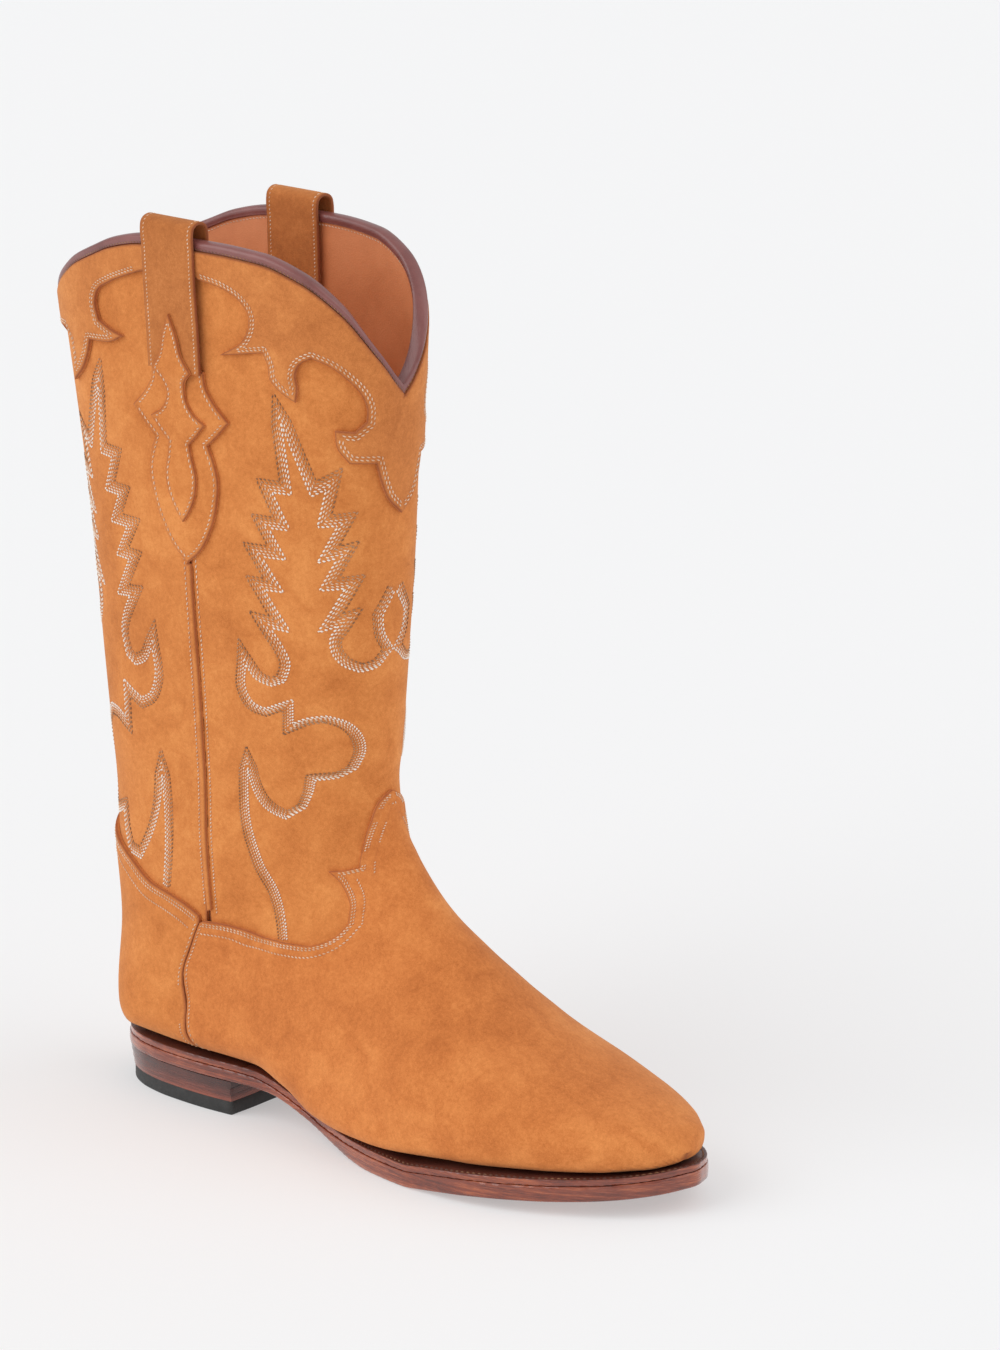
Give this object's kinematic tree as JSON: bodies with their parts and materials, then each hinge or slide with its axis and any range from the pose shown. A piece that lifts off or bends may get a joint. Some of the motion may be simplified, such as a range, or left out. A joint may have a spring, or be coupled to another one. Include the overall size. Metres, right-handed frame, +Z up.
{
  "type": "cowboy boot",
  "caption": "Pull-on cowboy boot for the right foot: tall shaft with a scalloped top, pull-strap loops, almond toe, stitched welt, leather sole and a low stacked heel.",
  "frame": {"origin": "on the ground, at the centre of the bounding box seen from above", "axes": "+X to the toe, +Y to the medial side (the wearer's left on this right boot), +Z up the shaft"},
  "size_m": [0.3006, 0.0916, 0.3471],
  "materials": {
    "suede_tan": "napped suede, tan",
    "suede_brown": "napped suede, brown",
    "lining_leather": "smooth tan lining leather",
    "binding_leather": "smooth folded binding leather",
    "stiffener_board": "fibre board and woven interlining",
    "sole_leather": "dyed and burnished sole leather",
    "insole_leather": "undyed insole leather",
    "cork": "ground cork filler",
    "rubber": "matt dark rubber",
    "steel": "bright steel"
  },
  "bodies": {
    "root": {"shaft_front": "suede_tan", "shaft_back": "suede_tan", "vamp": "suede_tan", "counter": "suede_tan", "strap_tail_outer": "suede_tan", "strap_tail_inner": "suede_tan", "collar_front": "suede_brown", "collar_back": "suede_brown", "pull_strap_outer": "suede_brown", "strap_spear_outer": "suede_brown", "side_bead_outer": "suede_brown", "pull_strap_inner": "suede_brown", "strap_spear_inner": "suede_brown", "side_bead_inner": "suede_brown", "top_binding_front": "binding_leather", "top_binding_back": "binding_leather", "shaft_lining_front": "lining_leather", "shaft_lining_back": "lining_leather", "vamp_lining": "lining_leather", "heel_lining": "lining_leather", "sock_liner": "lining_leather", "toe_box": "stiffener_board", "vamp_interlining": "stiffener_board", "heel_stiffener": "stiffener_board", "insole": "insole_leather", "cork_filler": "cork", "shank": "steel", "welt": "sole_leather", "heel_rand": "sole_leather", "outsole": "sole_leather", "heel_lift_1": "sole_leather", "heel_lift_2": "sole_leather", "heel_lift_3": "sole_leather", "heel_top_lift": "rubber", "heel_nail_1": "steel", "heel_nail_2": "steel", "heel_nail_3": "steel", "heel_nail_4": "steel", "heel_nail_5": "steel", "heel_nail_6": "steel", "heel_nail_7": "steel"}
  },
  "joints": []
}
